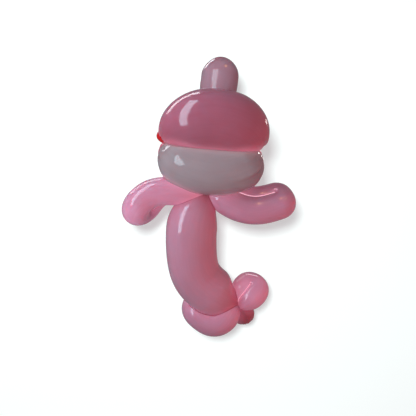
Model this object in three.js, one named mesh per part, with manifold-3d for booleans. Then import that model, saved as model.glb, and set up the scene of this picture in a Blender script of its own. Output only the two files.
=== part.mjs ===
// A shark twisted from modelling balloons, lying on the back of its head and its tail.
// Millimetres, +Z up. The shark's nose points along +Y, its tail along -Y, and the side that it shows lies upwards.
// Every node is one balloon: a chain of bubbles parted by twists. Where two balloons press together, the later one
// takes the dent. The air inside is drawn as solid.
import * as THREE from 'three';
import { mergeVertices } from 'three/addons/utils/BufferGeometryUtils.js';
import Module from 'manifold-3d';

const wasm = await Module();
wasm.setup();

// Driving dimensions
const twistNeck = 8;         // diameter of a balloon where it is twisted shut
const pressGap = 0.3;        // air between two balloons that press together
const foldGap = 0.5;         // air on each side of the fold where a loop's two limbs meet
const knotSize = 13;         // diameter of the knot that joins the bubbles of one balloon

const headSpan = 130;        // between the two twists at the sides of the head
const headHeight = 76;       // of those twists above the ground
const headTilt = -4.6;         // of the line between them, in degrees, seen from above
const headCentre = new THREE.Vector3(5, 92, headHeight);
const twistSpread = 5;       // how far from that line each head bubble starts
const quarterTurn = 90;

// The four head bubbles: tube is the diameter, bow how far the bubble bows out from the line between the twists,
// turn the direction of the bow in degrees up from the nose's, slide its shift to the side, caps the lengths of its
// left and right domes as shares of the diameter, and sharp their sharpness.
const crown = { tube: 88, bow: 45.5, turn: 51, slide: 3.4, caps: [0.83, 0.67], sharp: 0.56 };
const back = { tube: 79, bow: 51, turn: -52, slide: 0, caps: [0.7, 0.66], sharp: 0.6 };
const nape = { tube: 67, bow: 56, turn: -125, slide: 0.5, caps: [0.85, 0.95], sharp: 0.6 };
const jaw = { tube: 83, bow: 35, turn: 158, slide: 2, caps: [0.46, 0.41], sharp: 0.6 };

const bodyTube = 75;         // a three inch balloon
const bodyLength = 200;
const finTube = 41;          // a two inch balloon, folded into a loop on each side
const finReach = 100;        // from the neck to the middle of the fold
const tailTube = 40;
const upperLobeReach = 33;
const lowerLobeReach = 54;
const stubTube = 35;
const stubLength = 32;
const noseTube = 55;
const noseLength = 85;
const tongueTube = 17;
const tongueLength = 19;

// Where a balloon starts: from the middle of the head, at the tongue from the head's left twist, and at the tail from
// the end of the body
const neckSeat = [-7.5, -59, -18];
const finSeat = [-7, -61, -16];
const noseSeat = [5, 46, -6];
const tongueSeat = [-1, 1, 1];
const tailSeat = [-1, -4, -2];

// The pose: each line's points after its start, as shares of the balloon's length or reach
const bodyPose = [
  [-0.062, -0.15, 0.035], [-0.104, -0.29, 0.04], [-0.112, -0.44, 0.02], [-0.102, -0.575, -0.01],
  [-0.062, -0.69, -0.045], [0.028, -0.788, -0.075], [0.138, -0.856, -0.1], [0.258, -0.89, -0.12],
];
const leftFinPose = [[-0.28, -0.015, 0.04], [-0.6, -0.05, 0.06], [-0.8, -0.125, 0.06], [-0.93, -0.25, 0.06]];
const rightFinPose = [[0.22, -0.1, 0.04], [0.47, -0.22, 0.06], [0.74, -0.27, 0.06], [1.07, -0.197, 0.06]];
const upperLobePose = [[0.25, 0.37, 0.18], [0.56, 0.76, 0]];
const lowerLobePose = [[-0.64, -0.36, -0.07], [-1, -0.22, -0.15]];
const stubPose = [[0.17, -0.37, -0.15], [0.36, -0.93, -0.3]];
const nosePose = [[0.04, 0.32, -0.02], [0.09, 0.68, -0.05], [0.095, 1, -0.05]];
const tonguePose = [[-0.25, 0.3, 0.3], [-0.5, 0.6, 0.6]];

// The folds: lean runs from a loop's far limb to its near one, at the twist and at the fold. Squeeze is how close the
// limbs press, as a share of lying side by side, tip how far the fold stands out, as a share of a half circle, and
// opening how soon the limbs part from the twist, in diameters.
const leftFinFold = { lean: [[0.1, -0.6, 0.9], [-0.16, 0.22, 0.9]], squeeze: 0.8, tip: 0.95, opening: 1.1 };
const rightFinFold = { lean: [[0.1, -0.8, 0.7], [0.1, -0.6, 0.8]], squeeze: 0.58, tip: 0.25, opening: 1.3 };
const upperLobeFold = { lean: [[0.6, -0.55, 0.45], [0.5, -0.45, 0.34]], squeeze: 0.44, tip: 0.65, opening: 0.6 };
const lowerLobeFold = { lean: [[-0.55, -0.3, 0.78], [0, -0.5, 0.86]], squeeze: 0.84, tip: 1, opening: 1 };

// Ends of a bubble: `cap` is the length of the dome as a share of the diameter, and `sharp` its sharpness, from a
// half, round, to one, pointed like a tube that is wrung shut.
const roundEnd = { cap: 0.5, sharp: 0.5 };
const neckEnd = { cap: 0.9, sharp: 0.85 };
const tailEnd = { cap: 0.7, sharp: 0.9 };
const loopEnd = { cap: 0.75, sharp: 0.7 };
const noseEnd = { cap: 1.25, sharp: 0.6 };

const bigSides = 20;
const bigRings = 16;
const bodyRings = 22;
const noseSides = 16;
const noseRings = 12;
const smallSides = 12;
const smallRings = 22;
const shortRings = 8;
const ringEase = 0.65;       // how much closer together the rings stand at a bubble's ends

const colours = {
  pink: { color: 0xd77f9f, roughness: 0.22, metalness: 0 },
  palePink: { color: 0xcfa3b4, roughness: 0.22, metalness: 0 },
  white: { color: 0xdad6dc, roughness: 0.22, metalness: 0 },
  red: { color: 0xc01824, roughness: 0.25, metalness: 0 },
};

// A bubble's line is cut into rings, closer together in its two domed ends.
function ringPlaces(length, tube, ends, count) {
  const rings = [];
  for (let i = 0; i <= count; i += 1) {
    const even = (i / count) * length;
    const eased = (length / 2) * (1 - Math.cos((Math.PI * i) / count));
    const place = even * (1 - ringEase) + eased * ringEase;
    const swell = Math.min(dome(place, length, tube, ends[0]), dome(length - place, length, tube, ends[1]));
    rings.push({ place, radius: twistNeck / 2 + (tube / 2 - twistNeck / 2) * swell });
  }
  return rings;
}

// Share of the full radius at a distance from a twist.
function dome(distance, length, tube, end) {
  const reach = Math.min(end.cap * tube, length / 2);
  return Math.sin((Math.PI / 2) * Math.min(1, Math.max(0, distance / reach))) ** end.sharp;
}

// Rings of points around a line. Each ring has a centre, an outward start direction and a radius; `limit` holds a
// point back along its direction.
function skin(rings, sides, limit) {
  const points = [];
  const faces = [];
  for (const ring of rings) {
    const start = ring.start.clone().addScaledVector(ring.along, -ring.start.dot(ring.along)).normalize();
    const across = new THREE.Vector3().crossVectors(ring.along, start);
    for (let k = 0; k < sides; k += 1) {
      const angle = (2 * Math.PI * (k + 0.5)) / sides;
      const way = start.clone().multiplyScalar(Math.cos(angle)).addScaledVector(across, Math.sin(angle));
      const reach = Math.min(ring.radius + ring.grown, limit(ring, way));
      points.push(ring.centre.clone().addScaledVector(way, reach));
    }
  }
  const ends = [rings[0], rings[rings.length - 1]];
  ends.forEach((ring) => points.push(ring.centre.clone()));
  const last = (rings.length - 1) * sides;
  const top = points.length - 2;
  const foot = points.length - 1;
  for (let k = 0; k < sides; k += 1) {
    const next = (k + 1) % sides;
    for (let i = 0; i < rings.length - 1; i += 1) {
      const a = i * sides + k;
      const b = i * sides + next;
      faces.push(a, b, a + sides, b, b + sides, a + sides);
    }
    faces.push(top, next, k);
    faces.push(foot, last + k, last + next);
  }
  return solidOf(points, faces);
}

function solidOf(points, faces) {
  const geometry = new THREE.BufferGeometry();
  geometry.setAttribute('position', new THREE.Float32BufferAttribute(points.flatMap((p) => [p.x, p.y, p.z]), 3));
  geometry.setIndex(faces);
  return toSolid(geometry);
}

function toSolid(geometry) {
  const bare = geometry.clone();
  bare.deleteAttribute('normal');
  bare.deleteAttribute('uv');
  const merged = mergeVertices(bare, 1e-4);
  return new wasm.Manifold(new wasm.Mesh({
    numProp: 3,
    vertProperties: new Float32Array(merged.attributes.position.array),
    triVerts: new Uint32Array(merged.index.array),
  }));
}

function toGeometry(solid) {
  const mesh = solid.getMesh();
  const geometry = new THREE.BufferGeometry();
  geometry.setAttribute('position', new THREE.Float32BufferAttribute(mesh.vertProperties, 3));
  geometry.setIndex(Array.from(mesh.triVerts));
  geometry.computeVertexNormals();
  return geometry;
}

// The ground holds a point back where a bubble rests on it and is pressed flat.
function ground(ring, way) {
  return way.z < -1e-6 ? ring.centre.z / -way.z : Infinity;
}

// A bubble along a curve that is never upright. Each ring has a flat side up and one down.
function bubble(curve, tube, options = {}) {
  const { ends = [roundEnd, roundEnd], sides = bigSides, count = bigRings, grown = 0, walls = [] } = options;
  const length = curve.getLength();
  const rings = ringPlaces(length, tube, ends, count).map(({ place, radius }) => {
    const share = THREE.MathUtils.clamp(place / length, 0, 1);
    return {
      centre: curve.getPointAt(share),
      along: curve.getTangentAt(share).normalize(),
      start: up,
      radius,
      grown,
    };
  });
  return skin(rings, sides, (ring, way) => {
    const stops = walls.map((wall) => {
      const towards = way.dot(wall.normal);
      return towards > 1e-6 ? (wall.constant - ring.centre.dot(wall.normal)) / towards : Infinity;
    });
    return Math.min(ground(ring, way), ...stops);
  });
}

const up = new THREE.Vector3(0, 0, 1);
const tilt = THREE.MathUtils.degToRad(headTilt);
const headSide = new THREE.Vector3(Math.cos(tilt), Math.sin(tilt), 0);
const headFront = new THREE.Vector3(-Math.sin(tilt), Math.cos(tilt), 0);

// Direction from the line between the head's twists, turned up from the nose's direction by some degrees.
function around(turn) {
  const lean = THREE.MathUtils.degToRad(turn);
  return headFront.clone().multiplyScalar(Math.cos(lean)).addScaledVector(up, Math.sin(lean));
}

// The line of a head bubble: an arc between the twists at the sides of the head.
class Bow extends THREE.Curve {
  constructor(shape) {
    super();
    this.out = around(shape.turn);
    this.slide = shape.slide;
    this.half = headSpan / 2;
    this.rise = shape.bow - twistSpread;
    this.arc = (this.half ** 2 + this.rise ** 2) / (2 * this.rise);
    this.sweep = Math.asin(this.half / this.arc);
  }

  getPoint(share, target = new THREE.Vector3()) {
    const angle = this.sweep * (2 * share - 1);
    const out = twistSpread + this.rise - this.arc * (1 - Math.cos(angle));
    const side = this.arc * Math.sin(angle) + this.slide * Math.sin(Math.PI * share);
    return target.copy(headCentre).addScaledVector(headSide, side).addScaledVector(this.out, out);
  }
}

// Two head bubbles that lie side by side press on a flat wall through the line between the twists, half way
// between their directions. This is the direction that the wall faces, from the first bubble to the second.
function facing(first, second) {
  const opening = (second.turn - first.turn + 360) % 360;
  return around(first.turn + opening / 2 + quarterTurn);
}

function wall(normal) {
  return { normal, constant: headCentre.dot(normal) - pressGap / 2 };
}

// Head bubbles in order around the head, each pressed by the one before and the one after.
const headRing = [nape, back, crown, jaw];

function headBubble(shape, grown) {
  const at = headRing.indexOf(shape);
  const before = headRing[(at + 3) % 4];
  const after = headRing[(at + 1) % 4];
  const ends = shape.caps.map((cap) => ({ cap, sharp: shape.sharp }));
  const walls = [wall(facing(shape, after)), wall(facing(before, shape).negate())];
  return bubble(new Bow(shape), shape.tube, { ends, grown, walls });
}

// A balloon folded into a loop: out along an axis curve, round half an ellipse past its end and back, its limbs
// pressed together.
function loop(axis, tube, fold, grown) {
  const spread = (tube / 2) * fold.squeeze;
  const length = axis.getLength();
  const turn = (Math.PI * spread * (1 + fold.tip)) / 2;
  const whole = 2 * length + turn;
  const rings = ringPlaces(whole, tube, [loopEnd, loopEnd], smallRings).map(({ place, radius }) => {
    const bend = THREE.MathUtils.clamp((place - length) / turn, 0, 1) * Math.PI;
    const out = THREE.MathUtils.clamp(Math.min(place, whole - place), 0, length);
    const heading = axis.getTangentAt(out / length).normalize();
    const lean = new THREE.Vector3(...fold.lean[0]).lerp(new THREE.Vector3(...fold.lean[1]), out / length);
    const near = lean.addScaledVector(heading, -lean.dot(heading)).normalize();
    const apart = THREE.MathUtils.smoothstep(out, 0, fold.opening * tube);
    const limb = foldGap + twistNeck / 4 + (spread - foldGap - twistNeck / 4) * apart;
    const shift = near.clone().multiplyScalar(limb * Math.cos(bend));
    shift.addScaledVector(heading, limb * Math.sin(bend) * fold.tip);
    const centre = axis.getPointAt(out / length).add(shift);
    const offset = shift.length();
    return { centre, outward: shift.normalize(), offset, radius, grown };
  });
  rings.forEach((ring, i) => {
    const before = rings[Math.max(0, i - 1)].centre;
    const after = rings[Math.min(rings.length - 1, i + 1)].centre;
    ring.along = after.clone().sub(before).normalize();
    ring.start = ring.outward.clone().negate();
  });
  return skin(rings, smallSides, (ring, way) => {
    const inward = -way.dot(ring.outward);
    const middle = inward > 1e-6 ? (ring.offset - foldGap) / inward : Infinity;
    return Math.min(middle, ground(ring, way));
  });
}

function knot(centre, grown) {
  const ball = new THREE.IcosahedronGeometry(knotSize / 2 + grown, 2);
  ball.translate(centre.x, centre.y, centre.z);
  return toSolid(ball);
}

// A smooth line from a start through points that are shares of a size.
function posed(start, size, shares) {
  const points = shares.map((share) => start.clone().addScaledVector(new THREE.Vector3(...share), size));
  return new THREE.CatmullRomCurve3([start, ...points], false, 'centripetal');
}

function from(place, seat) {
  return place.clone().add(new THREE.Vector3(...seat));
}

function join(solids) {
  return solids.reduce((whole, next) => whole.add(next));
}

// The twists at the sides of the head
const leftTwist = headCentre.clone().addScaledVector(headSide, -headSpan / 2);
const rightTwist = headCentre.clone().addScaledVector(headSide, headSpan / 2);

// Upper jaw and the two bubbles behind it: three bubbles of one pink balloon, joined at the sides of the head.
function headBalloon(grown) {
  return join([
    headBubble(crown, grown),
    headBubble(back, grown),
    headBubble(nape, grown),
    knot(leftTwist, grown),
    knot(rightTwist, grown),
  ]);
}

function jawBalloon(grown) {
  return headBubble(jaw, grown);
}

// Body: one long bubble from the neck, bending to the side towards the tail.
const bodyLine = posed(from(headCentre, neckSeat), bodyLength, bodyPose);

function bodyBalloon(grown) {
  return bubble(bodyLine, bodyTube, { ends: [neckEnd, tailEnd], count: bodyRings, grown });
}

// Fins: both loops are one balloon, twisted at the neck.
function finBalloon(grown) {
  const twist = from(headCentre, finSeat);
  return join([
    loop(posed(twist, finReach, leftFinPose), finTube, leftFinFold, grown),
    loop(posed(twist, finReach, rightFinPose), finTube, rightFinFold, grown),
    knot(twist, grown),
  ]);
}

// Tail: two lobes and the short end of the balloon, twisted together at the end of the body.
function tailBalloon(grown) {
  const twist = from(bodyLine.getPoint(1), tailSeat);
  return join([
    loop(posed(twist, upperLobeReach, upperLobePose), tailTube, upperLobeFold, grown),
    loop(posed(twist, lowerLobeReach, lowerLobePose), tailTube, lowerLobeFold, grown),
    bubble(posed(twist, stubLength, stubPose), stubTube, { sides: smallSides, count: shortRings, grown }),
    knot(twist, grown),
  ]);
}

// Nose: its twist is wedged between the crown and the bubble behind it.
function noseBalloon(grown) {
  const line = posed(from(headCentre, noseSeat), noseLength, nosePose);
  return bubble(line, noseTube, { ends: [noseEnd, roundEnd], sides: noseSides, count: noseRings, grown });
}

// Tongue: a small bubble at the left corner of the mouth.
function tongueBalloon(grown) {
  const line = posed(from(leftTwist, tongueSeat), tongueLength, tonguePose);
  return bubble(line, tongueTube, { sides: smallSides, count: shortRings, grown });
}

const balloons = [
  ['head_balloon', headBalloon, colours.pink],
  ['jaw_balloon', jawBalloon, colours.white],
  ['body_balloon', bodyBalloon, colours.pink],
  ['fin_balloon', finBalloon, colours.pink],
  ['tail_balloon', tailBalloon, colours.pink],
  ['nose_balloon', noseBalloon, colours.palePink],
  ['tongue_balloon', tongueBalloon, colours.red],
];

// Each balloon gives way to those made before it.
const shark = new THREE.Group();
const pressedBy = [];
for (const [name, make, finish] of balloons) {
  const whole = make(0);
  const left = pressedBy.reduce((solid, other) => solid.subtract(other), whole);
  const mesh = new THREE.Mesh(toGeometry(left), new THREE.MeshStandardMaterial(finish));
  mesh.name = name;
  shark.add(mesh);
  pressedBy.push(make(pressGap));
}

// The origin is on the ground, under the middle of the shark.
const bounds = new THREE.Box3().setFromObject(shark);
const middle = bounds.getCenter(new THREE.Vector3());
shark.position.set(-middle.x, -middle.y, -bounds.min.z);

export default shark;
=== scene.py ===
import math

import bpy
import numpy as np
from mathutils import Matrix


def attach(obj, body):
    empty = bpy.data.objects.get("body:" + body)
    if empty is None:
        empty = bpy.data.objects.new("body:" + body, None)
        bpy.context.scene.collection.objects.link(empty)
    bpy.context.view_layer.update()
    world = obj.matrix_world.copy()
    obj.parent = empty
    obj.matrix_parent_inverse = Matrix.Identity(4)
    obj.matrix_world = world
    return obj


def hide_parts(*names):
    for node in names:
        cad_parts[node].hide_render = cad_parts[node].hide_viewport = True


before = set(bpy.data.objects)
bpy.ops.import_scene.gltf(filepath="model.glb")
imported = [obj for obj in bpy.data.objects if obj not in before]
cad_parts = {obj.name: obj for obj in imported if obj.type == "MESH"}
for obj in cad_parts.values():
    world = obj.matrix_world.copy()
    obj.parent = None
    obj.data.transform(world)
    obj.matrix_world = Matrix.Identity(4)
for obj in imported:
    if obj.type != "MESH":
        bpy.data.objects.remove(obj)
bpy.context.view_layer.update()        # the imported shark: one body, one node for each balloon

print("frame loaded")

# Lengths are millimetres in the frame's axes: +Y from the tail to the nose, +Z up from the ground
millimetre = 0.001       # in metres, which the meshes are in
upwards = np.array([0.0, 0.0, 1.0])
lineSamples = 900        # points that a bubble's middle line is kept as

# What all the balloons share
latex = {
    "neck": 8,           # across a balloon where it is wrung shut
    "pressGap": 0.3,     # air between two balloons that press together
    "pressSoft": 1.8,    # how widely a bubble rounds off beside what it presses on
    "pressMargin": 5,    # how far round a bubble other balloons' points are tested against it
    "thinnest": 0.05,    # how near a pressed point may come to the middle of its ring
    "glowReach": 8,      # how far from another balloon the painted glow between them reaches
    "foldGap": 0.5,      # air on each side of the fold between a loop's limbs
    "ringEase": 0.6,     # how much closer the rings stand at a bubble's ends
    "pleats": ((5, 0.3), (9, 0.42), (14, 0.34), (23, 0.2)),   # puckers around a twist: how many, how strong
    "pleatDepth": 0.1,   # of the puckers, as a share of the radius
    "pleatReach": 11,    # how far they run from the twist
    "waver": 0.0035,     # slow unevenness of the skin, as a share of the radius
    "waverTurn": (31, 19),       # how far along the balloon its two waves take to turn by one radian
    "farLimb": (0.5, 0.65),      # where along a loop its far limb begins, as shares of its length
    "farLight": 1.5,     # how much more painted glow the far limb, which lies in the fold's shade, gets than the near one
}


# Vectors scaled to a length of one
def unit(vectors):
    return vectors / np.maximum(np.linalg.norm(vectors, axis=-1, keepdims=True), 1e-12)


# The smaller of two values, rounded where they meet: while they differ by less than soft, it falls short
# of the smaller one by a parabola
def softMin(a, b, soft):
    return np.minimum(a, b) - np.maximum(soft - np.abs(a - b), 0) ** 2 / (4 * soft)


# The larger of two values, rounded in the same way
def softMax(a, b, soft):
    return -softMin(-a, -b, soft)


# Smoothstep from 0 at low to 1 at high
def ramp(value, low, high):
    share = np.clip((value - low) / (high - low), 0, 1)
    return share * share * (3 - 2 * share)


# Running average along the first axis, with a bell of the given spread in samples, cut off at three
# spreads. The values go on past each end turned about it, so the ends stay where they are.
def soften(values, spread):
    half = int(3 * spread)
    bell = np.exp(-0.5 * (np.arange(-half, half + 1) / spread) ** 2)
    bell /= bell.sum()
    before = 2 * values[:1] - values[half:0:-1]
    after = 2 * values[-1:] - values[-2:-half - 2:-1]
    padded = np.concatenate([before, values, after])
    return np.stack([np.convolve(column, bell, "valid") for column in padded.T], 1)


# A line kept as close samples: points, headings and the distance walked to each
def lineThrough(points):
    walked = np.concatenate([[0], np.cumsum(np.linalg.norm(np.diff(points, axis=0), axis=1))])
    return {
        "points": points,
        "headings": unit(np.gradient(points, walked, axis=0)),
        "walked": walked,
        "length": walked[-1],
    }


# Natural cubic spline: between two points the line is a cubic, whose bend runs evenly from one to the
# other, and the parameter grows by the root of each chord
def splineThrough(corners):
    p = np.array(corners, float)
    h = np.sqrt(np.linalg.norm(np.diff(p, axis=0), axis=1))
    t = np.concatenate([[0], np.cumsum(h)])
    n = len(p)
    system = np.eye(n)
    inner = np.arange(1, n - 1)
    system[inner, inner - 1] = h[:-1]
    system[inner, inner] = 2 * (h[:-1] + h[1:])
    system[inner, inner + 1] = h[1:]
    right = np.zeros((n, 3))
    slopes = np.diff(p, axis=0) / h[:, None]
    right[1:-1] = 6 * np.diff(slopes, axis=0)
    bend = np.linalg.solve(system, right)
    at = np.linspace(0, t[-1], lineSamples)
    i = np.clip(np.searchsorted(t, at, "right") - 1, 0, n - 2)
    a = ((t[i + 1] - at) / h[i])[:, None]
    b = ((at - t[i]) / h[i])[:, None]
    curved = ((a ** 3 - a) * bend[i] + (b ** 3 - b) * bend[i + 1]) * h[i][:, None] ** 2 / 6
    return lineThrough(a * p[i] + b * p[i + 1] + curved)


# A line from a start through points that are shares of a size
def posed(start, size, shares):
    return splineThrough([start] + [start + size * np.array(share) for share in shares])


# The values that a line has at the given distances along it
def along(line, values, places):
    return np.stack([np.interp(places, line["walked"], column) for column in values.T], 1)


# Share of the full radius at a distance from a twist: a quarter sine over the cap's reach, to the power
# sharp. The cap is a share of the tube.
def dome(distance, length, tube, end):
    reach = min(end["cap"] * tube, length / 2)
    return np.sin(math.pi / 2 * np.clip(distance / reach, 0, 1)) ** end["sharp"]


# Ring places along a bubble and the radius at each; neck is how wide a twist leaves it
def ringPlaces(length, tube, ends, count):
    share = np.linspace(0, 1, count)
    eased = (1 - np.cos(math.pi * share)) / 2
    places = length * ((1 - latex["ringEase"]) * share + latex["ringEase"] * eased)
    swells = []
    for distance, end in ((places, ends[0]), (length - places, ends[1])):
        neck = end.get("neck", latex["neck"]) / 2
        swells.append(neck + (tube / 2 - neck) * dome(distance, length, tube, end))
    return places, np.minimum(*swells)


# Puckers at the twists and a slow waver between them: the radius is multiplied by one plus a few cosines
# around the bubble, which fade by a bell over the distance from a twist. An open end has no twist.
def puckers(turn, places, length, shape):
    seed = shape["seed"]
    folds = 0
    for number, share in latex["pleats"]:
        folds = folds + share * np.cos(number * turn + seed * number + 0.8 * number ** 0.5)
    change = 0
    opens = shape.get("open", (False, False))
    reaches = shape.get("pleatReach", (latex["pleatReach"],) * 2)
    for distance, isOpen, reach in zip((places, length - places), opens, reaches):
        if not isOpen:
            fade = np.exp(-(distance / reach) ** 2)[:, None]
            change = change + latex["pleatDepth"] * folds * fade
    first, second = (places[:, None] / far for far in latex["waverTurn"])
    slow = np.cos(2 * turn + seed + first) + np.cos(3 * turn - seed + second)
    return 1 + change + latex["waver"] * slow


# A bubble's rings: each has a centre, a heading, a direction where its angle starts, and a radius
def bubbleRings(line, shape):
    places, radius = ringPlaces(line["length"], shape["tube"], shape["ends"], shape["rings"])
    headings = unit(along(line, line["headings"], places))
    return {
        "centre": along(line, line["points"], places),
        "heading": headings,
        "start": unit(upwards - (headings @ upwards)[:, None] * headings),
        "radius": radius,
        "places": places,
        "length": line["length"],
        "farEnd": line["points"][-1],
        "shape": shape,
    }


# The faces of a closed shell: four-sided ones between its rings, and a fan of triangles to a point of its
# own that closes each end. The two closing points are numbered after the rings'.
def shellFaces(rows, sides):
    column = np.arange(sides)
    following = (column + 1) % sides
    row = np.arange(rows - 1)[:, None] * sides
    quads = np.stack([row + column, row + following, row + following + sides, row + column + sides], -1)
    last = (rows - 1) * sides
    closing = np.full(sides, rows * sides)
    fans = [
        np.stack([closing, following, column], 1),
        np.stack([closing + 1, last + column, last + following], 1),
    ]
    return {"quads": quads.reshape(-1, 4), "triangles": np.concatenate(fans)}


# One value for each ring, given to all its points and to the point that closes each end
def perRing(values, sides):
    return np.concatenate([np.repeat(values, sides), values[[0, -1]]])


# Rings of points around a line: each lies from the ring's centre along its own direction, by the radius
# or by less where a stop holds it back. The points carry what the latex needs: stretch, how far the ring
# is blown up; fit, the share of its radius that a point keeps; the strength of a painted highlight line
# along a fold; lit, a painted glow that stands for light coming through; and grain, which runs around
# and along the balloon.
def skin(rings, sides, stops):
    shape = rings["shape"]
    turn = 2 * math.pi * (np.arange(sides) + 0.5) / sides
    across = np.cross(rings["heading"], rings["start"])
    ways = (rings["start"][:, None] * np.cos(turn)[None, :, None]
            + across[:, None] * np.sin(turn)[None, :, None])
    free = rings["radius"][:, None] * puckers(turn[None, :], rings["places"], rings["length"], shape)
    reach = free
    for stop in stops:
        reach = softMin(reach, np.maximum(stop(rings, ways), 0), latex["pressSoft"])
    reach = np.maximum(reach, latex["thinnest"])
    points = rings["centre"][:, None] + ways * reach[..., None]
    full = shape["tube"] / 2
    fit = np.clip(reach / free, 0, 1)
    endFit = [0.5, 0.5]      # the points that close the ends look pressed
    # lit: a painted glow for light coming through, stronger on the far limb, which lies in the fold's shade
    far = ramp(rings["places"] / rings["length"], *latex["farLimb"])
    lit = shape.get("lit", 0) * (1 + latex["farLight"] * far)
    grain = np.stack(np.broadcast_arrays(np.cos(turn), np.sin(turn), (rings["places"] / full)[:, None]), -1)
    return {
        "points": np.concatenate([points.reshape(-1, 3), rings["centre"][[0, -1]]]),
        "stretch": perRing(rings["radius"] / full * shape.get("blown", 1), sides),
        "fit": np.concatenate([fit.ravel(), endFit]),
        "lip": np.full(fit.size + 2, shape.get("lip", 0)),
        "lit": perRing(lit, sides),
        "grain": np.concatenate([grain.reshape(-1, 3), grain[[0, -1], 0]]),
        "rings": rings,
        **shellFaces(*fit.shape),
    }


# How far a way leads before the room towards a wall is used up. A way that hardly faces the wall never
# meets it.
def stopAfter(room, towards):
    least = 1e-3
    never = 1e6
    return np.where(towards > least, room[:, None] / np.maximum(towards, least), never)


# What holds a point back: the ground, where the bubble rests on it
def ground(rings, ways):
    return stopAfter(rings["centre"][:, 2], -ways[..., 2])


# What holds a point back: a flat wall between two bubbles, which faces along normal
def wallStop(normal, height):
    def stop(rings, ways):
        return stopAfter(height - rings["centre"] @ normal, ways @ normal)
    return stop


# What holds a point back: the fold between a loop's two limbs
def foldStop(rings, ways):
    inward = -np.einsum("ijk,ik->ij", ways, rings["outward"])
    return stopAfter(rings["offset"] - latex["foldGap"], inward)


# The points that lie in the box around a bubble, widened by a margin
def nearTo(points, rings, margin):
    low = rings["centre"].min(0) - rings["radius"].max() - margin
    high = rings["centre"].max(0) + rings["radius"].max() + margin
    return np.flatnonzero(((points > low) & (points < high)).all(1))


# Distance from points to a bubble's round skin, and the direction away from it: from the nearest ring,
# the height along its heading is taken off and the radius runs on with its slope, of which the steepest
# counted is 2
def skinDistance(points, rings):
    centre = rings["centre"]
    step = np.gradient(rings["places"])
    slope = np.clip(np.gradient(rings["radius"], rings["places"]), -2, 2)
    nearest = np.argmin((centre ** 2).sum(1) - 2 * points @ centre.T, axis=1)
    gap = points - centre[nearest]
    heading = rings["heading"][nearest]
    height = (gap * heading).sum(1)
    height = np.clip(height, -step[nearest], step[nearest])
    radial = gap - height[:, None] * heading
    distance = np.linalg.norm(radial, axis=1)
    lean = slope[nearest]
    size = np.sqrt(1 + lean ** 2)
    away = (radial / np.maximum(distance, 1e-6)[:, None] - lean[:, None] * heading) / size[:, None]
    return (distance - rings["radius"][nearest] - lean * height) / size, away


# Points that reach into an earlier bubble are moved out along the direction away from it, onto its skin.
# Each bubble has two turns, because leaving one may lead into the next.
def pressAgainst(shell, others):
    points = shell["points"]
    for rings in others * 2:
        near = nearTo(points, rings, latex["pressMargin"])
        if len(near):
            distance, away = skinDistance(points[near], rings)
            held = softMax(distance, latex["pressGap"], latex["pressSoft"])
            points[near] += away * (held - distance)[:, None]
    points[:, 2] = np.maximum(points[:, 2], 0)


# How close each point lies to the skins of the other bubbles: one where they touch, by a bell over the
# distance, which is next to nothing past three times its reach. It masks the painted glow between balloons.
def closeness(points, others):
    close = np.zeros(len(points))
    reach = latex["glowReach"]
    for rings in others:
        near = nearTo(points, rings, 3 * reach)
        if len(near):
            distance = np.maximum(skinDistance(points[near], rings)[0], 0)
            close[near] = np.maximum(close[near], np.exp(-(distance / reach) ** 2))
    return close


# The lump where bubbles are twisted together
knot = {
    "across": 13,
    "flutes": 5, "depth": 0.16,  # how many wind round it, and their depth as a share of the radius
    "wind": 1.3,                 # how far they wind
    "lumps": 0.05,               # slow unevenness, as a share of the radius
    "stretch": 0.12,             # how far its latex is blown up
    "sides": 48, "rows": 32,
}


# A twisted knot: a ball whose radius has flutes that wind round it from pole to pole
def knotShell(centre, axis, seed=0):
    rise = np.linspace(0, math.pi, knot["rows"] + 2)[1:-1]
    axis = unit(np.array(axis, float))
    side = unit(np.cross(axis, upwards))
    over = np.cross(axis, side)
    turn = 2 * math.pi * np.arange(knot["sides"]) / knot["sides"]
    wound = knot["wind"] * (rise[:, None] - math.pi / 2) * knot["flutes"] / 2
    flute = np.cos(knot["flutes"] * turn + wound + seed)
    lump = np.cos(2 * turn + 3 * rise[:, None] + 2 * seed)
    dip = knot["depth"] * (0.5 - 0.5 * flute) * np.sin(rise)[:, None] ** 2
    size = knot["across"] / 2 * (1 - dip - knot["lumps"] * lump)
    around = side * np.cos(turn)[:, None] + over * np.sin(turn)[:, None]
    ways = -axis * np.cos(rise)[:, None, None] + around[None] * np.sin(rise)[:, None, None]
    points = centre + ways * size[..., None]
    poles = np.stack([centre - axis * size[0].mean(), centre + axis * size[-1].mean()])
    total = size.size + 2
    return {
        "points": np.concatenate([points.reshape(-1, 3), poles]),
        "stretch": np.full(total, knot["stretch"]),
        "fit": np.ones(total),
        "lip": np.zeros(total),
        "lit": np.zeros(total),
        "grain": np.concatenate([ways.reshape(-1, 3), -axis[None], axis[None]]),
        **shellFaces(*size.shape),
    }


# Each balloon waits here until all are blown up: its name, the node it stands for, its finish and its
# shells
balloons = []


def blowUp(name, node, finish, shells):
    balloons.append({"name": name, "node": node, "finish": finish, "shells": shells})
    print(name, "blown up")


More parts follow.
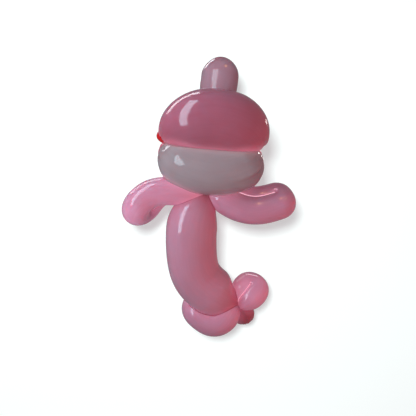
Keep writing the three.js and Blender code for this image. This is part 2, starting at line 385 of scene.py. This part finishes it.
# Shells become one mesh in metres, with what their points carry kept as attributes
def putMesh(name, shells, material):
    def joined(label):
        return np.concatenate([shell[label] for shell in shells])

    starts = np.cumsum([0] + [len(shell["points"]) for shell in shells])
    points = joined("points") * millimetre
    quads = np.concatenate([shell["quads"] + start for shell, start in zip(shells, starts)])
    triangles = np.concatenate([shell["triangles"] + start for shell, start in zip(shells, starts)])
    corners = np.concatenate([quads.ravel(), triangles.ravel()]).astype(np.int32)
    sizes = np.concatenate([np.full(len(quads), 4), np.full(len(triangles), 3)])
    mesh = bpy.data.meshes.new(name)
    mesh.vertices.add(len(points))
    mesh.vertices.foreach_set("co", points.astype(np.float32).ravel())
    mesh.loops.add(len(corners))
    mesh.loops.foreach_set("vertex_index", corners)
    mesh.polygons.add(len(sizes))
    mesh.polygons.foreach_set("loop_start", (np.cumsum(sizes) - sizes).astype(np.int32))
    mesh.polygons.foreach_set("use_smooth", np.ones(len(sizes), bool))
    mesh.update(calc_edges=True)
    for label in ("stretch", "fit", "close", "lip", "lit"):
        values = joined(label).astype(np.float32)
        mesh.attributes.new(label, "FLOAT", "POINT").data.foreach_set("value", values)
    grain = joined("grain").astype(np.float32)
    mesh.attributes.new("grain", "FLOAT_VECTOR", "POINT").data.foreach_set("vector", grain.ravel())
    mesh.validate()
    piece = bpy.data.objects.new(name, mesh)
    bpy.context.scene.collection.objects.link(piece)
    mesh.materials.append(material)
    return piece


# Each finish: full and tight are the latex's colour where it is blown up and at the twists; depth, in
# metres, and spread say how deep light goes into it and how that differs by colour; rough is its least
# and most roughness; through and glow are the colour and strength of a painted glow where balloons touch
# or fold
finishes = {
    # The head's pink is the body's latex in a darker colour, which paints in shade
    "headPink": {
        "slot": "pink_latex", "full": (0.43, 0.14, 0.205), "tight": (0.44, 0.05, 0.1), "depth": 0.012,
        "spread": (1.0, 0.32, 0.34), "rough": (0.06, 0.11), "through": (1.0, 0.32, 0.46), "glow": 0.24,
    },
    "bodyPink": {
        "slot": "pink_latex", "full": (0.56, 0.27, 0.36), "tight": (0.46, 0.06, 0.11), "depth": 0.014,
        "spread": (1.0, 0.3, 0.32), "rough": (0.06, 0.11), "through": (1.0, 0.22, 0.32), "glow": 0.07,
    },
    "finPink": {
        "slot": "pink_latex", "full": (0.53, 0.26, 0.36), "tight": (0.25, 0.016, 0.032), "depth": 0.02,
        "spread": (1.0, 0.3, 0.34), "rough": (0.06, 0.11), "through": (1.0, 0.32, 0.48), "glow": 0.14,
    },
    "paleNose": {
        "slot": "pale_pink_latex", "full": (0.42, 0.26, 0.32), "tight": (0.42, 0.12, 0.16), "depth": 0.011,
        "spread": (1.0, 0.36, 0.36), "rough": (0.06, 0.11), "through": (1.0, 0.4, 0.5), "glow": 0.04,
    },
    # The white latex's colour is greyed, which paints in part of its shade
    "whiteJaw": {
        "slot": "white_latex", "full": (0.4, 0.34, 0.36), "tight": (0.34, 0.23, 0.25), "depth": 0.013,
        "spread": (1.0, 0.42, 0.38), "rough": (0.06, 0.11), "through": (1.0, 0.7, 0.76), "glow": 0.09,
    },
    "redTongue": {
        "slot": "red_latex", "full": (0.6, 0.003, 0.007), "tight": (0.3, 0.004, 0.008), "depth": 0.004,
        "spread": (1.0, 0.12, 0.1), "rough": (0.1, 0.16), "through": (1.0, 0.03, 0.05), "glow": 0.06,
    },
}

# What all the finishes share
sheen = {
    "refraction": 1.5, "coat": 0.35, "coatRough": 0.06,
    "tightStretch": 0.1, "fullStretch": 0.92,    # stretch that gives the tight and the full colour
    "cloudScale": 26.0, "cloudDetail": 3.0,      # clouds stand in space, per metre
    "streakScale": (9.0, 9.0, 0.7), "streakDetail": 4.0, "streakRough": 0.6,   # streaks along the balloon
    "mottle": (0.6, 1.4), "tone": (0.94, 1.06),  # clouds and streaks added up, and the tone that they give
    "streaks": (0.35, 0.65),                     # streaks that give the least and the most roughness
    "pressed": 0.93,                             # fit at which the painted glow of pressed latex is full
    "line": (0.93, 0.97, 0.999),                 # fit where the painted highlight line along a fold starts, peaks and ends
    "foldHighlightColour": (1, 0.84, 0.9),
    "peelScale": 420.0, "peelDetail": 2.0,       # a fine bump, per metre
    "peelStrength": 0.01, "peelHeight": 0.0006,  # its strength, and its height in metres
}


# Glossy latex, which lets light through. Its colour runs from tight, near the twists, to full, where it
# is blown up. Slow clouds and fine streaks change its tone and shine, and a fine bump breaks up the
# reflections. The emission is painted light. A painted glow stands for light coming through where two
# balloons touch or a loop is folded, and all over where a shape says lit. A painted highlight is a pale
# line along the fold, where a shape asks for one.
def latexMaterial(name, look):
    material = bpy.data.materials.new(name)
    material.use_nodes = True
    nodes, links = material.node_tree.nodes, material.node_tree.links
    shader = nodes["Principled BSDF"]
    shader.inputs["Subsurface Weight"].default_value = 1.0
    shader.inputs["Subsurface Radius"].default_value = look["spread"]
    shader.inputs["Subsurface Scale"].default_value = look["depth"]
    shader.inputs["IOR"].default_value = sheen["refraction"]
    shader.inputs["Coat Weight"].default_value = sheen["coat"]
    shader.inputs["Coat Roughness"].default_value = sheen["coatRough"]

    def attribute(label, output="Fac"):
        made = nodes.new("ShaderNodeAttribute")
        made.attribute_name = label
        return made.outputs[output]

    def noise(coordinates, scale, detail, roughness=0.5):
        made = nodes.new("ShaderNodeTexNoise")
        made.inputs["Scale"].default_value = scale
        made.inputs["Detail"].default_value = detail
        made.inputs["Roughness"].default_value = roughness
        links.new(coordinates, made.inputs["Vector"])
        return made.outputs["Fac"]

    def compute(operation, first, second):
        made = nodes.new("ShaderNodeMath")
        made.operation = operation
        links.new(first, made.inputs[0])
        links.new(second, made.inputs[1])
        return made.outputs["Value"]

    def mapped(value, source, target):
        made = nodes.new("ShaderNodeMapRange")
        for socket, number in zip(("From Min", "From Max", "To Min", "To Max"), (*source, *target)):
            made.inputs[socket].default_value = number
        links.new(value, made.inputs["Value"])
        return made.outputs["Result"]

    def coloured(value, first, last, *between):
        made = nodes.new("ShaderNodeValToRGB")
        elements = made.color_ramp.elements
        for element, (position, colour) in zip(elements, (first, last)):
            element.position = position
            element.color = (*colour, 1)
        for position, colour in between:
            elements.new(position).color = (*colour, 1)
        links.new(value, made.inputs["Fac"])
        return made.outputs["Color"]

    place = nodes.new("ShaderNodeTexCoord").outputs["Object"]
    clouds = noise(place, sheen["cloudScale"], sheen["cloudDetail"])
    stretched = nodes.new("ShaderNodeMapping")
    stretched.inputs["Scale"].default_value = sheen["streakScale"]
    links.new(attribute("grain", "Vector"), stretched.inputs["Vector"])
    streaks = noise(stretched.outputs["Vector"], 1.0, sheen["streakDetail"], sheen["streakRough"])

    tight = (sheen["tightStretch"], look["tight"])
    full = (sheen["fullStretch"], look["full"])
    shade = nodes.new("ShaderNodeHueSaturation")
    links.new(coloured(attribute("stretch"), tight, full), shade.inputs["Color"])
    links.new(mapped(compute("ADD", clouds, streaks), sheen["mottle"], sheen["tone"]), shade.inputs["Value"])
    links.new(shade.outputs["Color"], shader.inputs["Base Color"])

    # Painted glow where balloons touch or a loop is folded, and all over where a shape says lit
    fit = attribute("fit")
    inside = compute("MAXIMUM", mapped(fit, (1, sheen["pressed"]), (0, 1)), attribute("close"))
    through = compute("ADD", mapped(inside, (0, 1), (0, look["glow"])), attribute("lit"))
    black, white = (0, 0, 0), (1, 1, 1)
    # A painted highlight: a pale emissive line along the fold, where a shape asks for one
    starts, peaks, stops = sheen["line"]
    fold = coloured(fit, (starts, black), (stops, black), (peaks, white))
    line = compute("MULTIPLY", fold, attribute("lip"))
    links.new(compute("ADD", through, line), shader.inputs["Emission Strength"])
    glowAndHighlightColour = nodes.new("ShaderNodeMix")
    glowAndHighlightColour.data_type = "RGBA"
    glowAndHighlightColour.inputs["A"].default_value = (*look["through"], 1)
    glowAndHighlightColour.inputs["B"].default_value = (*sheen["foldHighlightColour"], 1)
    links.new(line, glowAndHighlightColour.inputs["Factor"])
    links.new(glowAndHighlightColour.outputs["Result"], shader.inputs["Emission Color"])

    links.new(mapped(streaks, sheen["streaks"], look["rough"]), shader.inputs["Roughness"])
    bump = nodes.new("ShaderNodeBump")
    bump.inputs["Strength"].default_value = sheen["peelStrength"]
    bump.inputs["Distance"].default_value = sheen["peelHeight"]
    links.new(noise(place, sheen["peelScale"], sheen["peelDetail"]), bump.inputs["Height"])
    links.new(bump.outputs["Normal"], shader.inputs["Normal"])
    return material


materials = {name: latexMaterial(name, look) for name, look in finishes.items()}
print("latex mixed")


# The head: four bubbles between two twists at its sides. Each bows out from the line between the twists,
# turned some degrees up from the nose's direction, its middle slid to the right, and neighbours press
# flat on each other.
head = {
    "centre": (4.109, 77.465, 76),
    "span": 130,            # between the two twists
    "tilt": -4.6,           # of the line between them, seen from above
    "spread": 5,            # how far from that line each bubble starts
    "rings": 120, "sides": 132,
    "bubbles": {
        "crown": {
            "tube": 88, "bow": 45.5, "turn": 51, "slide": 3.4,
            "caps": (0.83, 0.67), "sharp": 0.56, "seed": 0.4,
        },
        "back": {
            "tube": 79, "bow": 51, "turn": -52, "slide": 0,
            "caps": (0.7, 0.66), "sharp": 0.6, "seed": 1.7,
        },
        "nape": {
            "tube": 67, "bow": 56, "turn": -125, "slide": 0.5,
            "caps": (0.85, 0.95), "sharp": 0.6, "seed": 2.9,
        },
        "jaw": {
            "tube": 83, "bow": 35, "turn": 158, "slide": 2,
            "caps": (0.46, 0.41), "sharp": 0.6, "seed": 4.1, "pleatReach": (12, 30),
        },
    },
    "order": ("nape", "back", "crown", "jaw"),   # round the line between the twists
}
headCentre = np.array(head["centre"], float)
headSide = np.array([math.cos(math.radians(head["tilt"])), math.sin(math.radians(head["tilt"])), 0])
headFront = np.array([-headSide[1], headSide[0], 0])
leftTwist = headCentre - headSide * head["span"] / 2
rightTwist = headCentre + headSide * head["span"] / 2


# The way square to the line between the twists that is turned up from the nose's by some degrees
def around(turn):
    return headFront * math.cos(math.radians(turn)) + upwards * math.sin(math.radians(turn))


# An arc from twist to twist: across by arc·sin(angle), out by the rise less arc·(1 − cos(angle))
def bowLine(shape):
    half = head["span"] / 2
    rise = shape["bow"] - head["spread"]
    arc = (half ** 2 + rise ** 2) / (2 * rise)
    share = np.linspace(0, 1, lineSamples)
    angle = math.asin(half / arc) * (2 * share - 1)
    out = head["spread"] + rise - arc * (1 - np.cos(angle))
    side = arc * np.sin(angle) + shape["slide"] * np.sin(math.pi * share)
    return lineThrough(headCentre + side[:, None] * headSide + out[:, None] * around(shape["turn"]))


# The flat walls between a bubble and its two neighbours, each halfway between their turns
def headWalls(name):
    at = head["order"].index(name)
    before, own, after = (head["bubbles"][head["order"][(at + step) % 4]]["turn"] for step in (-1, 0, 1))
    normals = (
        around(own + (after - own) % 360 / 2 + 90),
        -around(before + (own - before) % 360 / 2 + 90),
    )
    return [wallStop(normal, headCentre @ normal - latex["pressGap"] / 2) for normal in normals]


headRings = {}
headShells = {}
for name, shape in head["bubbles"].items():
    shape.update(ends=[{"cap": cap, "sharp": shape["sharp"]} for cap in shape["caps"]], rings=head["rings"])
    headRings[name] = bubbleRings(bowLine(shape), shape)
    headShells[name] = skin(headRings[name], head["sides"], [ground, *headWalls(name)])

blowUp("headBalloon", "head_balloon", "headPink", [
    headShells["crown"], headShells["back"], headShells["nape"],
    knotShell(leftTwist, headSide), knotShell(rightTwist, headSide, 1.1),
])
blowUp("jawBalloon", "jaw_balloon", "whiteJaw", [headShells["jaw"]])


# A bubble that starts at a point and is held back by the ground and by earlier bubbles
def bubbleShell(start, shape, others):
    rings = bubbleRings(posed(start, shape["length"], shape["pose"]), shape)
    shell = skin(rings, shape["sides"], [ground])
    pressAgainst(shell, others)
    return shell


# The body: one long bubble from the neck that bends to the side towards the tail
body = {
    "seat": (-7.5, -59, -18),  # of the neck, from the middle of the head
    "length": 200,
    "tube": 75,
    "ends": ({"cap": 0.9, "sharp": 0.85}, {"cap": 0.7, "sharp": 0.9}),
    "pose": [
        (-0.062, -0.15, 0.035), (-0.104, -0.29, 0.04), (-0.112, -0.44, 0.02), (-0.102, -0.575, -0.01),
        (-0.062, -0.69, -0.045), (0.028, -0.788, -0.075), (0.138, -0.856, -0.1), (0.258, -0.89, -0.12),
    ],
    "rings": 240, "sides": 144, "seed": 0.9,
}
bodyShell = bubbleShell(headCentre + np.array(body["seat"]), body, [headRings["jaw"], headRings["nape"]])
bodyRings = bodyShell["rings"]
blowUp("bodyBalloon", "body_balloon", "bodyPink", [bodyShell])

# What fins and lobes share: samples of their middle line, how widely it is softened, and the closed ends
loop = {"samples": 1200, "soft": 3.5, "end": {"cap": 0.75, "sharp": 0.7}}


# A loop's rings: out along its axis on one side, round half an ellipse past the end, and back on the
# other side. The limbs part soon after the twist, lean runs from the far limb to the near one, tip is how
# far the fold stands out as a share of a half circle, and the centres are softened.
def loopRings(line, shape):
    tube = shape["tube"]
    spread = tube / 2 * shape["squeeze"]
    turn = math.pi * spread * (1 + shape["tip"]) / 2
    whole = 2 * line["length"] + turn
    place = np.linspace(0, whole, loop["samples"])
    bend = np.clip((place - line["length"]) / turn, 0, 1) * math.pi
    out = np.clip(np.minimum(place, whole - place), 0, line["length"])
    heading = unit(along(line, line["headings"], out))
    share = (out / line["length"])[:, None]
    lean = np.array(shape["lean"][0]) * (1 - share) + np.array(shape["lean"][1]) * share
    near = unit(lean - (lean * heading).sum(1)[:, None] * heading)
    start = latex["foldGap"] + latex["neck"] / 4
    offset = start + (spread - start) * ramp(out, 0, shape["opening"] * tube)
    outward = near * np.cos(bend)[:, None] + heading * np.sin(bend)[:, None] * shape["tip"]
    centre = along(line, line["points"], out) + outward * offset[:, None]
    offset = offset * np.linalg.norm(outward, axis=1)
    perSample = whole / loop["samples"]
    centre = soften(centre, loop["soft"] / perSample)
    outward = unit(soften(outward, loop["soft"] / perSample))
    headings = unit(np.gradient(centre, axis=0))
    places, radius = ringPlaces(whole, tube, (loop["end"], loop["end"]), shape["rings"])

    def pick(values):
        return np.stack([np.interp(places, place, column) for column in values.T], 1)

    heading = unit(pick(headings))
    outward = pick(outward)
    outward = unit(outward - (outward * heading).sum(1)[:, None] * heading)
    return {
        "centre": pick(centre),
        "heading": heading,
        "outward": outward,
        "start": -outward,
        "offset": np.interp(places, place, offset),
        "radius": radius,
        "places": places,
        "length": whole,
        "shape": shape,
    }


# One loop of a balloon, from its twist, held back by the ground, its fold and earlier bubbles
def loopShell(start, reach, balloon, name, others):
    shape = dict(balloon[name], tube=balloon["tube"], rings=balloon["rings"])
    rings = loopRings(posed(start, reach, shape["pose"]), shape)
    shell = skin(rings, balloon["sides"], [ground, foldStop])
    pressAgainst(shell, others)
    return shell


# The fins: one balloon, twisted at the neck and folded into a loop on each side
fins = {
    "seat": (-7, -61, -16),    # of the twist, from the middle of the head
    "reach": 100,              # to the middle of each fold
    "tube": 41,
    "rings": 240, "sides": 96,
    "left": {
        "pose": [(-0.28, -0.015, 0.04), (-0.6, -0.05, 0.06), (-0.8, -0.125, 0.06), (-0.93, -0.25, 0.06)],
        "lean": [(0.1, -0.6, 0.9), (-0.16, 0.22, 0.9)],
        # A painted glow lies on this loop, stronger on its far limb
        "squeeze": 0.8, "tip": 0.95, "opening": 1.1, "lit": 0.11, "seed": 0.2,
    },
    "right": {
        "pose": [(0.22, -0.1, 0.04), (0.47, -0.22, 0.06), (0.74, -0.27, 0.06), (1.07, -0.197, 0.06)],
        "lean": [(0.1, -0.8, 0.7), (0.1, -0.6, 0.8)],
        # A painted highlight line runs along this fold, and a weak painted glow lies on it
        "squeeze": 0.58, "tip": 0.25, "opening": 1.3, "lip": 0.75, "lit": 0.03, "seed": 2.2,
    },
}
finTwist = headCentre + np.array(fins["seat"])
finPressers = [headRings["jaw"], headRings["nape"], bodyRings]
finShells = [loopShell(finTwist, fins["reach"], fins, side, finPressers) for side in ("left", "right")]
blowUp("finBalloon", "fin_balloon", "finPink", [*finShells, knotShell(finTwist, headSide, 2.0)])


# The tail: two short loops and the short end of the balloon, twisted together at the end of the body
tail = {
    "seat": (-1, -4, -2),      # of the twist, from the end of the body
    "tube": 40,
    "rings": 180, "sides": 96,
    "upper": {
        "reach": 33, "pose": [(0.25, 0.37, 0.18), (0.56, 0.76, 0)],
        "lean": [(0.6, -0.55, 0.45), (0.5, -0.45, 0.34)],
        # A painted highlight line runs along this fold, and a painted glow lies on it
        "squeeze": 0.44, "tip": 0.65, "opening": 0.6, "lip": 0.6, "lit": 0.06, "seed": 1.2,
    },
    "lower": {
        "reach": 54, "pose": [(-0.64, -0.36, -0.07), (-1, -0.22, -0.15)],
        "lean": [(-0.55, -0.3, 0.78), (0, -0.5, 0.86)],
        "squeeze": 0.84, "tip": 1, "opening": 1, "seed": 3.2,
    },
    "stub": {
        "tube": 35, "length": 32, "pose": [(0.17, -0.37, -0.15), (0.36, -0.93, -0.3)],
        "ends": ({"cap": 0.5, "sharp": 0.5}, {"cap": 0.5, "sharp": 0.5}),
        # The stub is hardly blown up and takes the fins' dark tight colour, which also paints in the shade
        # that lies on it
        "rings": 90, "sides": 96, "seed": 5.0, "blown": 0.18,
    },
    "knotAxis": (0.3, -0.9, 0.1),
}
tailTwist = bodyRings["farEnd"] + np.array(tail["seat"])
tailShells = []
tailPressers = [bodyRings]
for lobe in ("upper", "lower"):
    tailShells.append(loopShell(tailTwist, tail[lobe]["reach"], tail, lobe, tailPressers))
    tailPressers.append(tailShells[-1]["rings"])
tailShells.append(bubbleShell(tailTwist, tail["stub"], tailPressers))
tailShells.append(knotShell(tailTwist, tail["knotAxis"], 0.6))
blowUp("tailBalloon", "tail_balloon", "finPink", tailShells)


# The nose: a bubble whose twist is wedged between the crown and the bubble behind it
nose = {
    "seat": (5, 46, -6),       # of the twist, from the middle of the head
    "length": 85, "tube": 55,
    "pose": [(0.04, 0.32, -0.02), (0.09, 0.68, -0.05), (0.095, 1.0, -0.05)],
    "ends": ({"cap": 1.25, "sharp": 0.6}, {"cap": 0.52, "sharp": 0.5, "neck": 0}),
    "open": (False, True), "rings": 130, "sides": 132, "seed": 0.7,
}
noseShell = bubbleShell(headCentre + np.array(nose["seat"]), nose, [headRings["crown"], headRings["back"]])
blowUp("noseBalloon", "nose_balloon", "paleNose", [noseShell])


# The tongue: a small bubble at the left corner of the mouth
tongue = {
    "seat": (-1, 1, 1),        # from the twist at the left of the head
    "length": 19, "tube": 17,
    "pose": [(-0.25, 0.3, 0.3), (-0.5, 0.6, 0.6)],
    "ends": ({"cap": 0.5, "sharp": 0.5}, {"cap": 0.5, "sharp": 0.5, "neck": 0}),
    "open": (False, True), "rings": 60, "sides": 60, "seed": 0.3,
}
mouth = [headRings["crown"], headRings["jaw"], headRings["back"]]
blowUp("tongueBalloon", "tongue_balloon", "redTongue", [
    bubbleShell(leftTwist + np.array(tongue["seat"]), tongue, mouth),
])

for balloon in balloons:
    for shell in balloon["shells"]:
        others = [
            other["rings"] for each in balloons for other in each["shells"]
            if other is not shell and "rings" in other
        ]
        shell["close"] = closeness(shell["points"], others)
    piece = putMesh(balloon["name"], balloon["shells"], materials[balloon["finish"]])
    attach(piece, "root")
    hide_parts(balloon["node"])
print("balloons put together")


# A plain pale floor and soft studio light, in metres. Each panel stands at a place, turned towards the
# shark, and upright is the direction that its second side follows. It lights only what on names, or else
# all the balloons but those that off names, and the floor has a lamp of its own. Without glossy it isn't
# reflected, and without diffuse it is only reflected. The rims and sparks stand below the floor, which
# reflections don't see.
studio = {
    "floorSize": 6.0, "floorDrop": 0.0004, "floorColour": (0.46, 0.53, 0.515), "floorGlow": 0.48,
    "floorRough": 0.9, "floorGloss": 0.1,
    "aim": (0.0, 0.0, 0.06),
    "world": (0.27, 0.22, 0.24),
    "panels": {
        "window": {
            "place": (-0.48, 0.3, 0.45), "upright": (0, 1, 0), "size": (0.21, 1.02), "power": 3.5,
            "colour": (0.68, 0.87, 1.0), "off": ["jawBalloon", "noseBalloon"],
        },
        "jawWindow": {
            "place": (-0.4, 0.02, 0.62), "upright": (0, 1, 0), "size": (0.26, 0.42), "power": 1.2,
            "colour": (0.75, 0.9, 1.0), "shape": "ELLIPSE", "on": ["jawBalloon"],
        },
        "jawSide": {
            "place": (-0.45, 0.35, 0.5), "upright": (0, 1, 0), "size": (0.3, 0.6), "power": 0.8,
            "colour": (0.68, 0.9, 1.0), "glossy": False, "on": ["jawBalloon"],
        },
        "noseWindow": {
            "place": (-0.195, 0.25, 0.505), "upright": (0, 1, 0), "size": (0.26, 0.45), "power": 1.3,
            "colour": (0.8, 0.92, 1.0), "on": ["noseBalloon"],
        },
        "finFill": {
            "place": (-0.17, -0.15, 0.12), "upright": (0, 0, 1), "size": (0.1, 0.1), "power": 0.12,
            "colour": (0.75, 0.85, 1.0), "glossy": False, "on": ["finBalloon"],
        },
        "tailFill": {
            "place": (0.16, -0.02, 0.2), "upright": (0, 0, 1), "size": (0.1, 0.1), "power": 0.12,
            "colour": (1.0, 0.9, 0.9), "glossy": False, "on": ["tailBalloon"],
        },
        "front": {
            "place": (-0.45, 0.05, 1.0), "upright": (0, 1, 0), "size": (0.8, 0.9), "power": 4.2,
            "colour": (1.0, 0.95, 0.96), "glossy": False,
        },
        "warmSide": {
            "place": (0.9, -0.35, 0.35), "upright": (0, 0, 1), "size": (0.8, 0.6), "power": 4.7,
            "colour": (1.0, 0.21, 0.18), "glossy": False, "off": ["jawBalloon", "noseBalloon"],
        },
        "faintSide": {
            "place": (0.9, -0.35, 0.35), "upright": (0, 0, 1), "size": (0.8, 0.6), "power": 2.4,
            "colour": (1.0, 0.08, 0.05), "glossy": False, "on": ["jawBalloon", "noseBalloon"],
        },
        "rimLeft": {
            "place": (-0.5, 0.75, -0.24), "upright": (0, 0, 1), "size": (0.8, 0.2), "power": 2.0,
            "colour": (0.95, 0.97, 1.0), "diffuse": False, "off": ["noseBalloon"],
        },
        "rimRight": {
            "place": (0.2, 0.8, -0.36), "upright": (0, 0, 1), "size": (0.6, 0.12), "power": 2.2,
            "colour": (0.95, 0.97, 1.0), "diffuse": False, "on": ["tailBalloon"],
        },
        "rimNose": {
            "place": (-0.25, 0.6, -0.26), "upright": (0, 0, 1), "size": (0.3, 0.1), "power": 0.5,
            "colour": (0.95, 0.97, 1.0), "diffuse": False, "on": ["noseBalloon"],
        },
        "jawSpark": {
            "place": (0.355, 0.21, -0.35), "upright": (0, 0, 1), "size": (0.08, 0.08), "power": 0.16,
            "colour": (1.0, 0.95, 0.9), "diffuse": False, "on": ["jawBalloon"],
        },
        "crownSpark": {
            "place": (0.43, 0.24, -0.2), "upright": (0, 0, 1), "size": (0.06, 0.06), "power": 0.06,
            "colour": (1.0, 0.95, 0.9), "diffuse": False, "on": ["headBalloon"],
        },
        "noseLamp": {
            "place": (0.47, 0.96, 0.48), "upright": (0, 0, 1), "size": (0.06, 0.06), "power": 2.6,
            "colour": (1.0, 0.5, 0.2), "diffuse": False, "on": ["noseBalloon"],
        },
        "finLamp": {
            "place": (0.115, 0.7, 0.55), "upright": (0, 0, 1), "size": (0.05, 0.05), "power": 1.7,
            "colour": (1.0, 0.5, 0.2), "diffuse": False, "on": ["finBalloon"],
        },
        "farLamp": {
            "place": (0.55, 0.62, 0.5), "upright": (0, 0, 1), "size": (0.05, 0.05), "power": 1.6,
            "colour": (1.0, 0.5, 0.2), "diffuse": False, "on": ["finBalloon"],
        },
        "overFloor": {
            "place": (-0.2, 0.24, 1.3), "upright": (0, 1, 0), "size": (0.3, 0.3), "power": 19.5,
            "colour": (1.0, 1.0, 1.0), "glossy": False, "on": ["floor"],
        },
    },
}


# The floor glows a little, and neither reflections nor soft light see it, so that it doesn't flood the
# shark
def makeFloor():
    half = studio["floorSize"] / 2
    mesh = bpy.data.meshes.new("floor")
    corners = [(-half, -half), (half, -half), (half, half), (-half, half)]
    mesh.from_pydata([(x, y, -studio["floorDrop"]) for x, y in corners], [], [(0, 1, 2, 3)])
    floor = bpy.data.objects.new("floor", mesh)
    bpy.context.scene.collection.objects.link(floor)
    material = bpy.data.materials.new("floorPaint")
    material.use_nodes = True
    shader = material.node_tree.nodes["Principled BSDF"]
    shader.inputs["Base Color"].default_value = (*studio["floorColour"], 1)
    shader.inputs["Roughness"].default_value = studio["floorRough"]
    shader.inputs["Specular IOR Level"].default_value = studio["floorGloss"]
    shader.inputs["Emission Color"].default_value = (1, 1, 1, 1)
    shader.inputs["Emission Strength"].default_value = studio["floorGlow"]
    mesh.materials.append(material)
    floor.visible_glossy = False
    floor.visible_diffuse = False


def lightPanel(name, panel):
    lamp = bpy.data.lights.new(name, "AREA")
    lamp.shape = panel.get("shape", "RECTANGLE")
    lamp.size, lamp.size_y = panel["size"]
    lamp.energy = panel["power"]
    lamp.color = panel["colour"]
    holder = bpy.data.objects.new(name, lamp)
    away = unit(np.array(panel["place"]) - np.array(studio["aim"]))
    upright = unit(panel["upright"] - (away @ panel["upright"]) * away)
    turn = Matrix(np.stack([np.cross(upright, away), upright, away], 1).tolist())
    holder.matrix_world = Matrix.Translation(panel["place"]) @ turn.to_4x4()
    holder.visible_camera = False
    holder.visible_diffuse = panel.get("diffuse", True)
    holder.visible_glossy = panel.get("glossy", True)
    lit = bpy.data.collections.new(name + "Lights")
    for piece in panel.get("on", [balloon["name"] for balloon in balloons]):
        if piece not in panel.get("off", []):
            lit.objects.link(bpy.data.objects[piece])
    holder.light_linking.receiver_collection = lit
    bpy.context.scene.collection.objects.link(holder)


makeFloor()
for name, panel in studio["panels"].items():
    lightPanel(name, panel)

world = bpy.data.worlds.new("studio")
bpy.context.scene.world = world
world.use_nodes = True
world.node_tree.nodes["Background"].inputs["Color"].default_value = (*studio["world"], 1)
bpy.context.scene.view_settings.view_transform = "Standard"

# The camera looks straight down on the lying shark. Its place is in metres, its lens and sensor in
# millimetres.
view = {"from": (-0.000891, -0.014535, 0.8), "lens": 43.0, "sensor": 36}
camera = bpy.data.cameras.new("camera")
camera.lens = view["lens"]
camera.sensor_width = view["sensor"]
cameraHolder = bpy.data.objects.new("camera", camera)
cameraHolder.location = view["from"]
bpy.context.scene.collection.objects.link(cameraHolder)
bpy.context.scene.camera = cameraHolder
print("studio ready")
